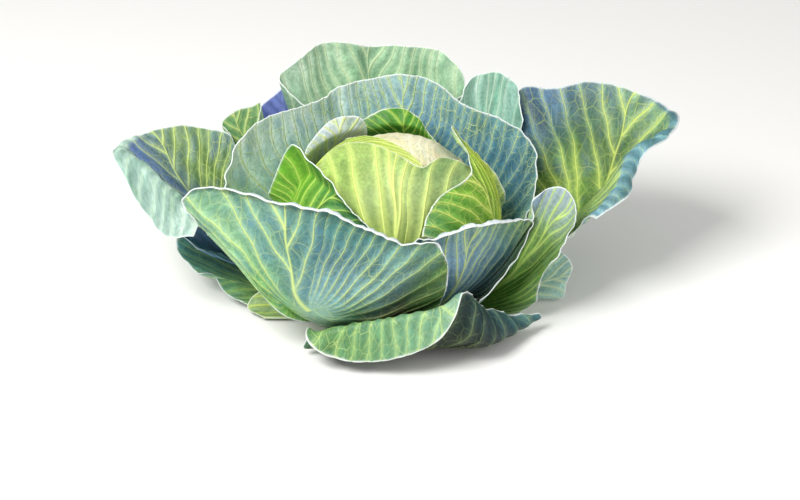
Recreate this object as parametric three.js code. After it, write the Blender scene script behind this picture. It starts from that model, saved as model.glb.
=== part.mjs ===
import * as THREE from "three";

// A white cabbage as it is cut from the bed: a stump, a solid heart, and the leaves that open around it.
// Millimetres, +Z up. The origin is the centre of the stump's cut face, and the plant's front is towards -Y.

// The heart is a flattened ball, deeper above its widest girth than below it.
const heartCentreHeight = 86;
const heartRadius = 77;
const heartRise = 68;
const heartDrop = 52;

// The stump is what is left of the stalk once the plant is cut.
const stumpRadius = 22;
const stumpFlare = 2;
const gap = 0.3;
const footGap = 1.2; // between the stalk and each leaf's foot

// A leaf is thick where it leaves the stalk and thin at its rim.
const baseThickness = 3;
const rimThickness = 2.2;
const clasp = 16; // width of a leaf's foot round the stalk
const kneeWidth = 30; // width of its stalk where the blade begins
const bendLength = 14; // length over which a folded margin turns
const ribLength = 150; // a usual rib, against which a folded margin's share of it is reckoned

// Under the widest girth a layer keeps only this share of its clearance, because the stalks crowd there.
const lowerClearance = 0.45;
const sharpness = 60; // how abruptly a leaf starts to follow the heart

// A place over the plant that every leaf turns its upper side to.
const overhead = [0, 0, 200];

// Every leaf: where its foot is on the stalk (angle from +X, height), the knee where its ribs fan out,
// and its rim. A rim row is x, y, z, then the width and the downward turn of a margin folded there.
// belly is how far each rib swings out and up on its way from knee to rim, as shares of that reach. Where
// it changes across the leaf it is a row of such pairs, and a third number pushes the rib outward in mm.
// layer, where given, is the clearance that the leaf keeps to the heart it wraps. along and across, clasp
// and kneeWidth stand in for the usual cells and widths where a leaf needs its own.
const leaves = [
  {
    name: "heart_leaf_back",
    colour: "#e9e6b8",
    foot: [90, 29],
    knee: [0, 48, 29],
    belly: [0.1, 0.8],
    layer: 3.6,
    along: 13,
    across: 15,
    rim: [
      [-70, 20, 90],
      [-62, 15, 120],
      [-40, -10, 145],
      [0, -38, 146],
      [38, -28, 144],
      [60, 5, 126],
      [70, 30, 95],
    ],
  },
  {
    name: "heart_leaf_middle",
    colour: "#b9cf4a",
    foot: [160, 24],
    knee: [-50, 15, 30],
    belly: [0.1, 0.8],
    layer: 8.6,
    along: 13,
    across: 15,
    rim: [
      [-30, 75, 100],
      [-45, 35, 143],
      [-29, 19, 154],
      [-10, 1, 160],
      [9, -17, 159],
      [25, -36, 150],
      [9, -55, 142],
      [-21, -69, 125],
    ],
  },
  {
    name: "heart_leaf_front",
    colour: "#c4d487",
    foot: [270, 24],
    knee: [0, -50, 30],
    belly: [0.1, 0.8],
    layer: 13,
    along: 13,
    across: 15,
    rim: [
      [-66, -33, 128],
      [-64, -7, 139],
      [-50, 6, 150],
      [-29, -4, 159],
      [-9, -20, 163],
      [9, -33, 159],
      [24, -38, 154],
      [40, -21, 155],
      [58, -12, 145],
      [70, -11, 133],
      [70, -40, 117],
    ],
  },
  {
    name: "wrapper_leaf_right",
    colour: "#8fae4c",
    foot: [335, 19.5],
    knee: [55, -22, 26],
    belly: [0.1, 0.8],
    layer: 17.2,
    along: 13,
    rim: [
      [23, -85, 113],
      [28, -75, 129],
      [39, -61, 139],
      [55, -44, 141],
      [66, -23, 143],
      [63, 2, 150],
      [51, 28, 162],
      [71, 28, 136],
      [88, 28, 118],
      [100, 18, 98],
      [96, 20, 75],
    ],
  },
  {
    name: "wrapper_leaf_left",
    colour: "#6aa53c",
    foot: [205, 18.5],
    knee: [-55, -25, 26],
    belly: [0.1, 0.8],
    layer: 17.2,
    along: 13,
    rim: [
      [-100, 32, 78],
      [-113, 12, 98],
      [-111, -2, 116],
      [-92, -12, 163],
      [-75, -38, 162],
      [-62, -55, 158],
      [-49, -68, 147],
      [-37, -80, 135],
      [-14, -90, 114],
    ],
  },
  {
    name: "wrapper_leaf_back_left",
    colour: "#9aa7bf",
    foot: [140, 19],
    knee: [-46, 44, 26],
    belly: [0.1, 0.8],
    layer: 21.4,
    rim: [
      [-89, 30, 85],
      [-82, 40, 127],
      [-74, 52, 138],
      [-60, 68, 147],
      [-46, 78, 147],
      [-31, 84, 142],
      [-25, 82, 123],
      [-24, 78, 90],
    ],
  },
  {
    name: "wrapper_leaf_back",
    colour: "#5f9a3c",
    foot: [70, 24],
    knee: [12, 62, 29],
    belly: [0.1, 0.8],
    layer: 26.5,
    rim: [
      [-50, 92, 90],
      [-37, 96, 126],
      [-25, 100, 136],
      [-12, 102, 142],
      [4, 103, 143],
      [16, 100, 140],
      [26, 96, 130],
      [36, 92, 114],
      [62, 80, 85],
    ],
  },
  {
    name: "cup_leaf_front_right",
    colour: "#6f94a0",
    foot: [315, 12.5],
    knee: [46, -76, 15],
    belly: [0.5, 0.35],
    layer: 20,
    rim: [
      [9, -98, 92, 0, 0],
      [17, -96, 112, 3, 60],
      [37, -93, 115, 6, 120],
      [56, -87, 121, 7, 130],
      [75, -77, 120, 8, 130],
      [97, -59, 112, 6, 120],
      [119, -40, 102, 3, 60],
      [114, -48, 88, 0, 0],
      [97, -65, 64, 0, 0],
      [75, -80, 46, 0, 0],
    ],
  },
  {
    name: "cup_leaf_front_left",
    colour: "#7ba38f",
    foot: [232, 12],
    knee: [-100, -114, 5],
    kneeWidth: 12,
    belly: [[-0.1, 0.75], [0.3, 0.5], [0.5, 0.35], [0.55, 0.35]],
    layer: 25,
    rim: [
      [-158, -52, 88, 0, 0],
      [-183, -44, 120, 3, 60],
      [-166, -50, 139, 5, 120],
      [-133, -64, 142, 6, 130],
      [-92, -84, 141, 8, 130],
      [-56, -99, 142, 8, 130],
      [-16, -107, 127, 7, 130],
      [6, -109, 118, 5, 120],
      [30, -110, 119, 3, 60],
      [44, -109, 104, 0, 0],
      [45, -109, 78, 0, 0],
      [37, -107, 50, 0, 0],
    ],
  },
  {
    name: "collar_leaf",
    colour: "#7f9fa8",
    foot: [88, 19.2],
    knee: [0, 84, 26],
    belly: [0.8, 0.25],
    layer: 31,
    across: 18,
    kneeWidth: 60,
    rim: [
      [-153, -14, 115],
      [-151, 8, 126],
      [-142, 33, 143],
      [-121, 66, 150],
      [-74, 104, 150],
      [-51, 120, 158],
      [-22, 130, 161],
      [7, 133, 164],
      [35, 131, 158],
      [66, 115, 141],
      [102, 94, 135],
      [125, 66, 128],
      [130, 34, 115],
      [126, 8, 103],
      [119, -14, 91],
    ],
  },
  {
    name: "outer_leaf_back",
    colour: "#9bb9a0",
    foot: [92, 15],
    knee: [-15, 108, 22],
    belly: [0.75, 0.3],
    kneeWidth: 40,
    rim: [
      [-75, 120, 131],
      [-93, 128, 138],
      [-108, 142, 156],
      [-90, 162, 169],
      [-70, 174, 177],
      [-46, 180, 176],
      [-25, 182, 170],
      [0, 184, 171],
      [24, 182, 170],
      [45, 176, 167],
      [64, 164, 154],
      [65, 152, 136],
      [43, 145, 126],
    ],
  },
  {
    name: "outer_leaf_back_right",
    colour: "#a5c7b7",
    foot: [57, 14.4],
    knee: [60, 95, 22],
    belly: [0.7, 0.3],
    across: 9,
    clasp: 10,
    rim: [
      [63, 128, 127],
      [61, 136, 140],
      [73, 148, 154],
      [88, 152, 157],
      [102, 150, 157],
      [113, 142, 151],
      [119, 130, 141],
      [117, 112, 124],
    ],
  },
  {
    name: "outer_leaf_right",
    colour: "#7d94a8",
    foot: [20, 9.7],
    knee: [135, 20, 50],
    belly: [0.5, 0.35],
    across: 14,
    kneeWidth: 50,
    rim: [
      [117, 112, 90, 0, 0],
      [116, 136, 122, 0, 0],
      [121, 148, 143, 0, 0],
      [151, 142, 145, 0, 0],
      [181, 133, 156, 0, 0],
      [208, 118, 159, 0, 0],
      [234, 100, 153, 3, 20],
      [252, 72, 146, 8, 70],
      [236, 50, 139, 14, 110],
      [209, 30, 131, 18, 120],
      [197, 6, 110, 18, 110],
      [171, -8, 86, 12, 90],
    ],
  },
  {
    name: "outer_leaf_back_left_green",
    colour: "#6d9a6a",
    foot: [143, 5],
    knee: [-99, 76, 22],
    belly: [0.6, 0.35],
    across: 8,
    clasp: 10,
    rim: [
      [-147, 98, 102],
      [-156, 104, 116],
      [-162, 110, 125],
      [-150, 118, 133],
      [-135, 122, 136],
      [-126, 122, 139],
      [-129, 112, 121],
    ],
  },
  {
    name: "outer_leaf_back_left_blue",
    colour: "#7480b4",
    foot: [120, 9.3],
    knee: [-72, 106, 25],
    belly: [0.6, 0.35],
    across: 8,
    kneeWidth: 22,
    rim: [
      [-140, 130, 106],
      [-129, 140, 125],
      [-116, 147, 134],
      [-106, 152, 140],
      [-99, 151, 131],
      [-98, 144, 116],
    ],
  },
  {
    name: "outer_leaf_left",
    colour: "#7d8f8f",
    foot: [168, 13.5],
    knee: [-130, 5, 50],
    belly: [0.55, 0.35],
    across: 14,
    kneeWidth: 46,
    rim: [
      [-145, 62, 95, 0, 0],
      [-147, 78, 112, 0, 0],
      [-154, 88, 124, 0, 0],
      [-172, 92, 127, 0, 0],
      [-197, 92, 131, 0, 0],
      [-219, 84, 131, 0, 0],
      [-236, 66, 130, 4, 30],
      [-244, 46, 128, 12, 90],
      [-228, 26, 128, 28, 120],
      [-210, 8, 120, 40, 130],
      [-187, -14, 110, 44, 130],
      [-163, -34, 97, 24, 120],
    ],
  },
  {
    name: "outer_leaf_front_right",
    colour: "#8aa88a",
    foot: [333, 8],
    knee: [85, -43, 13],
    belly: [0.5, 0.35],
    rim: [
      [100, -30, 72],
      [120, -20, 92],
      [124, -12, 110],
      [135, -8, 118],
      [150, -12, 121],
      [160, -22, 109],
      [159, -32, 95],
      [148, -44, 76],
      [132, -48, 55],
      [128, -46, 34],
      [125, -42, 20],
      [110, -42, 8],
    ],
  },
  {
    name: "ground_leaf_front",
    colour: "#6fae8c",
    foot: [268, 4],
    knee: [0, -66, 4],
    belly: [[1, 0, 10], [1, 0, 18], [1, 0, 35], [1, -0.05, 80], [1, 0, 25]],
    across: 16,
    along: 13,
    rim: [
      [-80, -98, 10, 4, 40],
      [-62, -106, 24, 26, 165],
      [-33, -113, 37, 42, 187],
      [-1, -116, 45, 45, 190],
      [34, -116, 54, 37, 185],
      [54, -109, 60, 16, 150],
      [67, -97, 60, 2, 40],
      [78, -84, 42, 0, 0],
      [103, -68, 25, 0, 0],
      [129, -56, 18, 0, 0],
    ],
  },
  {
    name: "ground_leaf_left",
    colour: "#5d8a72",
    foot: [200, 4.5],
    knee: [-70, -18, 9],
    belly: [0.6, 0.3],
    rim: [
      [-192, 42, 52],
      [-202, 30, 44],
      [-198, 14, 36],
      [-182, 0, 28],
      [-167, -2, 26],
      [-158, -12, 16],
      [-145, -19, 9],
      [-125, -27, 5],
      [-98, -27, 5],
    ],
  },
  {
    name: "ground_leaf_left_inner",
    colour: "#4c6b86",
    foot: [176, 9],
    knee: [-90, -5, 22],
    belly: [0.6, 0.3],
    across: 8,
    rim: [
      [-187, 21, 70],
      [-196, 16, 60],
      [-187, 10, 52],
      [-173, 4, 48],
      [-158, 7, 42],
      [-139, -1, 32],
    ],
  },
  {
    name: "ground_leaf_left_small",
    colour: "#7a9a55",
    foot: [234, 4.5],
    clasp: 10,
    knee: [-60, -52, 6],
    kneeWidth: 16,
    belly: [0.6, 0.3],
    across: 7,
    rim: [
      [-118, -42, 3],
      [-134, -30, 8],
      [-124, -24, 20],
      [-108, -32, 22],
      [-92, -40, 12],
    ],
  },
  {
    name: "ground_leaf_back_right",
    colour: "#86a88c",
    foot: [45, 4.5],
    knee: [52, 52, 7],
    belly: [0.7, 0.15],
    across: 9,
    kneeWidth: 50,
    rim: [
      [66, 106, 26],
      [86, 122, 20],
      [112, 122, 8],
      [134, 102, 7],
      [146, 74, 16],
      [128, 44, 22],
    ],
  },
  {
    name: "ground_leaf_back",
    colour: "#7f9f8f",
    foot: [100, 4.5],
    knee: [-14, 74, 7],
    belly: [0.7, 0.15],
    kneeWidth: 60,
    rim: [
      [-72, 96, 22],
      [-78, 122, 20],
      [-56, 146, 12],
      [-22, 158, 5],
      [18, 154, 9],
      [42, 138, 16],
      [44, 110, 22],
    ],
  },
  {
    name: "ground_leaf_right",
    colour: "#a9c4c0",
    foot: [0, 4],
    knee: [80, -5, 8],
    belly: [0.6, 0.3],
    across: 8,
    rim: [
      [136, 1, 50],
      [152, 4, 46],
      [162, -1, 34],
      [157, -4, 18],
      [154, -9, 6],
      [140, -9, 5],
    ],
  },
];

const alongCells = 9;
const acrossCells = 11;
const roundSides = 32;

const add = (a, b, k = 1) => a.map((x, i) => x + k * b[i]);
const minus = (a, b) => a.map((x, i) => x - b[i]);
const dot = (a, b) => a.reduce((sum, x, i) => sum + x * b[i], 0);
const length = (a) => Math.sqrt(dot(a, a));
const unit = (a) => a.map((x) => x / (length(a) || 1));
const cross = (a, b) => [
  a[1] * b[2] - a[2] * b[1],
  a[2] * b[0] - a[0] * b[2],
  a[0] * b[1] - a[1] * b[0],
];

// The smooth curve through evenly spaced rows of numbers, at u from 0 to 1.
function through(rows, u) {
  const last = rows.length - 1;
  const x = Math.min(Math.max(u, 0), 1) * last;
  const i = Math.min(Math.floor(x), last - 1);
  const w = x - i;
  const at = (k) => {
    if (k < 0) return rows[0].map((v, j) => 2 * v - rows[1][j]);
    if (k > last) return rows[last].map((v, j) => 2 * v - rows[last - 1][j]);
    return rows[k];
  };
  const [a, b, c, d] = [at(i - 1), at(i), at(i + 1), at(i + 2)];
  return b.map(
    (v, j) =>
      v +
      0.5 * w * (c[j] - a[j] +
        w * (2 * a[j] - 5 * v + 4 * c[j] - d[j] +
          w * (3 * v - a[j] - 3 * c[j] + d[j]))),
  );
}

// Moves a point that lies within a layer's distance of the heart out to that distance.
function outsideHeart(p, layer) {
  const middle = [0, 0, heartCentreHeight];
  const from = minus(p, middle);
  const tall = from[2] > 0 ? heartRise + layer : heartDrop + lowerClearance * layer;
  const f = Math.hypot(from[0] / (heartRadius + layer), from[1] / (heartRadius + layer), from[2] / tall);
  const g = (f ** sharpness + 1) ** (1 / sharpness);
  return add(middle, from, g / Math.max(f, 1e-6));
}

// A leaf's surface without its folded margin, at u across the rim and t along a rib.
function onBlade(leaf, u, t) {
  const angle = THREE.MathUtils.degToRad(leaf.foot[0]);
  const side = [-Math.sin(angle), Math.cos(angle), 0];
  const across = minus(leaf.rim.at(-1).slice(0, 3), leaf.rim[0].slice(0, 3));
  const way = Math.sign(dot(across, side)) || 1;
  const turn = angle + (way * (u - 0.5) * (leaf.clasp ?? clasp)) / stumpRadius;
  const radius = stumpRadius + footGap;
  const foot = [radius * Math.cos(turn), radius * Math.sin(turn), leaf.foot[1]];
  const knee = add(leaf.knee, side, way * (u - 0.5) * (leaf.kneeWidth ?? kneeWidth));
  const rim = through(leaf.rim, u).slice(0, 3);
  const [out, up, push = 0] = Array.isArray(leaf.belly[0]) ? through(leaf.belly, u) : leaf.belly;
  const reach = minus(rim, knee);
  const outward = unit([rim[0], rim[1], 0]);
  const level = [knee[0] + out * reach[0], knee[1] + out * reach[1], knee[2] + up * reach[2]];
  const belly = add(level, outward, push);
  const s = 1 - t;
  const p = foot.map(
    (x, i) => s ** 3 * x + 3 * t * s * s * knee[i] + 3 * t * t * s * belly[i] + t ** 3 * rim[i],
  );
  return leaf.layer === undefined ? p : outsideHeart(p, leaf.layer);
}

// The rib's direction and the direction towards the leaf's underside, at u and t.
function bladeFrame(leaf, u, t) {
  const e = 1e-3;
  const su = minus(onBlade(leaf, Math.min(u + e, 1), t), onBlade(leaf, Math.max(u - e, 0), t));
  const st = minus(onBlade(leaf, u, Math.min(t + e, 1)), onBlade(leaf, u, Math.max(t - e, 0)));
  return { along: unit(st), under: unit(cross(su, st)) };
}

// Which way the cross product above points on this leaf: 1 if to its underside, -1 if to its upper side.
function undersideSign(leaf) {
  const p = onBlade(leaf, 0.5, 0.4);
  return Math.sign(dot(bladeFrame(leaf, 0.5, 0.4).under, minus(p, overhead))) || 1;
}

// A leaf's surface with its margin folded: past the rim it turns down over a bend and then runs straight.
function onLeaf(leaf, sign, u, t) {
  const [, , , width = 0, degrees = 0] = through(leaf.rim, u);
  const share = Math.max(width, 0) / (ribLength + Math.max(width, 0));
  const onRib = Math.min(t / (1 - share), 1);
  const p = onBlade(leaf, u, onRib);
  if (width <= 0 || t <= 1 - share) return p;
  const { along, under } = bladeFrame(leaf, u, onRib);
  const s = ((t - (1 - share)) / share) * width;
  const bend = Math.min(width, bendLength);
  const curve = THREE.MathUtils.degToRad(degrees) / bend;
  const angle = curve * Math.min(s, bend);
  const past = Math.max(s - bend, 0);
  const ahead = curve > 1e-6 ? Math.sin(angle) / curve : Math.min(s, bend);
  const down = curve > 1e-6 ? (1 - Math.cos(angle)) / curve : 0;
  const q = add(p, along, ahead + past * Math.cos(angle));
  return add(q, under, sign * (down + past * Math.sin(angle)));
}

// The places along a leaf's ribs that lie evenly spaced on its middle rib.
function evenSteps(leaf, sign, count) {
  const fine = 96;
  const sums = [0];
  for (let k = 1; k <= fine; k++) {
    const step = minus(onLeaf(leaf, sign, 0.5, k / fine), onLeaf(leaf, sign, 0.5, (k - 1) / fine));
    sums.push(sums.at(-1) + length(step));
  }
  const places = [];
  for (let j = 0; j <= count; j++) {
    const wanted = (sums.at(-1) * j) / count;
    const k = Math.max(1, Math.min(sums.filter((s) => s < wanted).length, fine));
    places.push((k - (sums[k] - wanted) / (sums[k] - sums[k - 1])) / fine);
  }
  return places;
}

// A closed leaf: the surface moved half a thickness to either side, with its edges joined.
function leafGeometry(leaf) {
  const sign = undersideSign(leaf);
  const nu = leaf.across ?? acrossCells;
  const nt = leaf.along ?? alongCells;
  const places = evenSteps(leaf, sign, nt);
  const grid = [];
  for (let i = 0; i <= nu; i++) {
    grid.push(places.map((t) => onLeaf(leaf, sign, i / nu, t)));
  }
  const vertices = [];
  for (const face of [1, -1]) {
    for (let i = 0; i <= nu; i++) {
      for (let j = 0; j <= nt; j++) {
        const su = minus(grid[Math.min(i + 1, nu)][j], grid[Math.max(i - 1, 0)][j]);
        const st = minus(grid[i][Math.min(j + 1, nt)], grid[i][Math.max(j - 1, 0)]);
        const thick = THREE.MathUtils.lerp(baseThickness, rimThickness, Math.min((2 * j) / nt, 1));
        vertices.push(...add(grid[i][j], unit(cross(su, st)), (face * thick) / 2));
      }
    }
  }
  const half = (nu + 1) * (nt + 1);
  const id = (i, j) => i * (nt + 1) + j;
  const faces = [];
  const quad = (a, b, c, d) => faces.push(a, b, c, a, c, d);
  for (let i = 0; i < nu; i++) {
    for (let j = 0; j < nt; j++) {
      quad(id(i, j), id(i + 1, j), id(i + 1, j + 1), id(i, j + 1));
      quad(half + id(i, j), half + id(i, j + 1), half + id(i + 1, j + 1), half + id(i + 1, j));
    }
    quad(id(i, 0), half + id(i, 0), half + id(i + 1, 0), id(i + 1, 0));
    quad(id(i, nt), id(i + 1, nt), half + id(i + 1, nt), half + id(i, nt));
  }
  for (let j = 0; j < nt; j++) {
    quad(id(0, j), id(0, j + 1), half + id(0, j + 1), half + id(0, j));
    quad(id(nu, j), half + id(nu, j), half + id(nu, j + 1), id(nu, j + 1));
  }
  const geometry = new THREE.BufferGeometry();
  geometry.setAttribute("position", new THREE.Float32BufferAttribute(vertices, 3));
  geometry.setIndex(faces);
  return geometry;
}

function mesh(name, geometry, colour, roughness) {
  geometry.computeVertexNormals();
  const material = new THREE.MeshStandardMaterial({ color: colour, roughness, metalness: 0 });
  const made = new THREE.Mesh(geometry, material);
  made.name = name;
  return made;
}

// A turned solid about the Z axis, from a profile of radius and height.
function turned(profile, sides) {
  const points = profile.map(([r, z]) => new THREE.Vector2(r, z));
  return new THREE.LatheGeometry(points, sides).rotateX(Math.PI / 2);
}

function heartGeometry() {
  const profile = [];
  const steps = 14;
  const flat = Math.asin(stumpRadius / heartRadius);
  for (let i = 0; i <= steps; i++) {
    const a = flat + ((Math.PI - flat) * i) / steps;
    const tall = a < Math.PI / 2 ? heartDrop : heartRise;
    profile.push([heartRadius * Math.sin(a), heartCentreHeight - tall * Math.cos(a)]);
  }
  profile.unshift([0, profile[0][1]]);
  profile.at(-1)[0] = 0;
  return turned(profile, roundSides);
}

function stumpGeometry() {
  const top = heartCentreHeight - heartDrop * Math.cos(Math.asin(stumpRadius / heartRadius)) - gap;
  const profile = [
    [0, 0],
    [stumpRadius - stumpFlare, 0],
    [stumpRadius, stumpFlare],
    [stumpRadius, top],
    [0, top],
  ];
  return turned(profile, roundSides);
}

const cabbage = new THREE.Group();
cabbage.name = "cabbage";
cabbage.add(mesh("stump", stumpGeometry(), "#d9d8a8", 0.8));
cabbage.add(mesh("heart", heartGeometry(), "#ece8c4", 0.6));
for (const leaf of leaves) cabbage.add(mesh(leaf.name, leafGeometry(leaf), leaf.colour, 0.6));

export default cabbage;
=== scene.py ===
# %% [markdown]
# # A white cabbage, leaf by leaf
# A cabbage cut from the bed stands on the cut face of its stump. Its heart is a ball of packed leaves, the
# younger leaves clasp it, a collar stands round it, and the old leaves spread out and down to the table.
# This lesson builds every leaf from one formula, so each cell adds one idea: the leaf's surface, its veins,
# its thickness, its colours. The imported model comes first, because every leaf has to grow from the same
# stalk and fill the same place as its plain solid there.

# %% Load the frame
import math

import bpy
import numpy as np
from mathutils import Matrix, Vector


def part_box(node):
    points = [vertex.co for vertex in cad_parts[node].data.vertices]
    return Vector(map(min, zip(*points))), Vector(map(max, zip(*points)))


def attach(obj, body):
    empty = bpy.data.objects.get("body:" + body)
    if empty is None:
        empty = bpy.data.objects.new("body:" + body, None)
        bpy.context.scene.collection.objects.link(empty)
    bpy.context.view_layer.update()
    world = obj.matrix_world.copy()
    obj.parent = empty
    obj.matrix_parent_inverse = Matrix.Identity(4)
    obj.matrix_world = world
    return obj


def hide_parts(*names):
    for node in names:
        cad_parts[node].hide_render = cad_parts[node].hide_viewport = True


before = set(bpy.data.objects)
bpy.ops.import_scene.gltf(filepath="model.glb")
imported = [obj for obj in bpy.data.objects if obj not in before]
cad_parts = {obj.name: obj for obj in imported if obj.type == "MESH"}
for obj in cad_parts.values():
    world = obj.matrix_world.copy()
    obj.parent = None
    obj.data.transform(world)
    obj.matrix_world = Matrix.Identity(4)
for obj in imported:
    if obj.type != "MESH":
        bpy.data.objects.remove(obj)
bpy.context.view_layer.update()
MM = 0.001
print("nodes to dress:", len(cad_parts))

# %% [markdown]
# ## The heart and the stalk
# The leaves clasp the heart, so its centre and its radii are needed before any leaf. They could be typed in
# again, but the frame already knows most of them: the heart's box gives its girth and its top, and the
# stump's box gives the stalk's radius. The girth is widest above the middle, so those two are named here.

# %% Read the heart and the stump from the frame, in millimetres
heart_low, heart_high = (np.array(corner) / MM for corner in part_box("heart"))
stump_low, stump_high = (np.array(corner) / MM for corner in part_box("stump"))
HEART_CENTRE = 86.0
HEART_DROP = 52.0
HEART_RADIUS = float(round((heart_high[0] - heart_low[0]) / 2))
HEART_RISE = float(round(heart_high[2] - HEART_CENTRE))
STALK_RADIUS = float(round((stump_high[0] - stump_low[0]) / 2))
print("heart radius", HEART_RADIUS, "rise", HEART_RISE, "stalk radius", STALK_RADIUS)

# %% [markdown]
# ## Every leaf's own numbers
# A leaf could be sculpted by hand, but then no two would share a rule and none could be corrected exactly.
# Here a leaf is a few places: its foot on the stalk (the angle from +X and the height), the knee where its
# ribs fan out, and a row of points along its rim. `belly` is how far each rib swings out and up on its way
# from knee to rim, and in a leaf that lies on the ground a third number pushes it outward. `layer` is the
# clearance that a leaf keeps to the heart it wraps. A rim point may carry two more numbers, the width of a
# margin folded there and the degrees that it turns down.

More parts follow.
